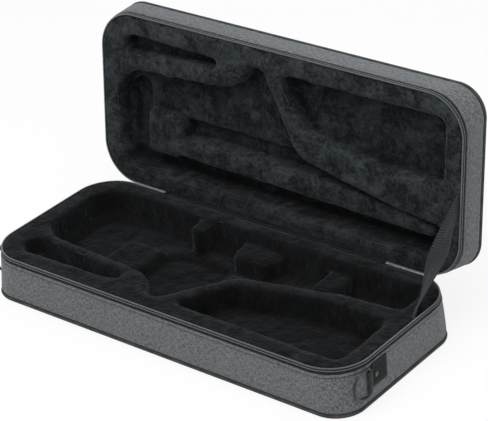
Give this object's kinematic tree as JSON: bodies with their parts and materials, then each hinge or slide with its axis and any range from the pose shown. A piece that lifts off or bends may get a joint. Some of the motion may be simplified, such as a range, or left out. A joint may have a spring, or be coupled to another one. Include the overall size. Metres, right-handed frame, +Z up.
{
  "type": "saxophone case",
  "caption": "Zipped foam case for an alto saxophone, open: plush-lined tray and lid with moulded pockets, fabric hinge, webbing stay and D rings.",
  "frame": {"origin": "centre of the base panel's underside, where the tray rests on the floor", "axes": "+Z up, +X along the length to the end with the stay strap, -Y to the front where the zip opens, +Y to the fabric hinge"},
  "size_m": [0.6824, 0.372, 0.3578],
  "materials": {
    "foam": "expanded foam",
    "plush": "deep cut pile",
    "cover": "heather woven polyester",
    "piping": "ribbed welt over a round cord",
    "tape": "woven zip tape",
    "teeth": "moulded nylon coil",
    "webbing": "woven webbing",
    "leather": "black grained leather",
    "metal": "black nickel plate"
  },
  "bodies": {
    "tray": {"tray_shell": "foam", "tray_lining": "plush", "tray_side_band": "cover", "tray_panel": "cover", "tray_piping": "piping", "tray_zip_tape": "tape", "tray_zip_coil": "teeth", "tray_zip_stops": "metal", "tray_hinge_leaf": "tape", "stay_tray_tab": "webbing", "stay_strap": "webbing", "right_loop": "webbing", "right_patch": "leather", "right_rivet": "metal", "left_loop": "webbing", "left_patch": "leather", "left_rivet": "metal"},
    "lid": {"lid_shell": "foam", "lid_lining": "plush", "lid_side_band": "cover", "lid_panel": "cover", "lid_piping": "piping", "lid_zip_tape": "tape", "lid_zip_coil": "teeth", "lid_zip_stops": "metal", "lid_hinge_leaf": "tape", "stay_lid_tab": "webbing"},
    "right_ring": {"right_ring": "metal"},
    "left_ring": {"left_ring": "metal"},
    "right_slider": {"right_slider": "metal"},
    "left_slider": {"left_slider": "metal"},
    "right_pull": {"right_pull": "metal"},
    "left_pull": {"left_pull": "metal"}
  },
  "joints": [
    {"name": "lid_hinge", "type": "hinge", "parent": "tray", "child": "lid", "pos_m": [0, 0.14105, 0.0765], "axis": [1, 0, 0], "range_deg": [0, 95.5], "deforming": ["stay_strap"]},
    {"name": "right_ring_swivel", "type": "hinge", "parent": "tray", "child": "right_ring", "pos_m": [0.3376, -0.086, 0.0425], "axis": [0, 0, 1], "range_deg": [-1, 150]},
    {"name": "left_ring_swivel", "type": "hinge", "parent": "tray", "child": "left_ring", "pos_m": [-0.3376, -0.086, 0.0425], "axis": [0, 0, -1], "range_deg": [-1, 150]},
    {"name": "right_slider_run", "type": "slide", "parent": "tray", "child": "right_slider", "axis": [1, 0, 0], "range_m": [0, 0.045]},
    {"name": "left_slider_run", "type": "slide", "parent": "tray", "child": "left_slider", "axis": [-1, 0, 0], "range_m": [0, 0.045]},
    {"name": "right_pull_swing", "type": "hinge", "parent": "right_slider", "child": "right_pull", "pos_m": [0.2165, 0.14728, 0.0708], "axis": [1, 0, 0], "range_deg": [0, 75]},
    {"name": "left_pull_swing", "type": "hinge", "parent": "left_slider", "child": "left_pull", "pos_m": [-0.2165, 0.14728, 0.0708], "axis": [1, 0, 0], "range_deg": [0, 75]}
  ]
}
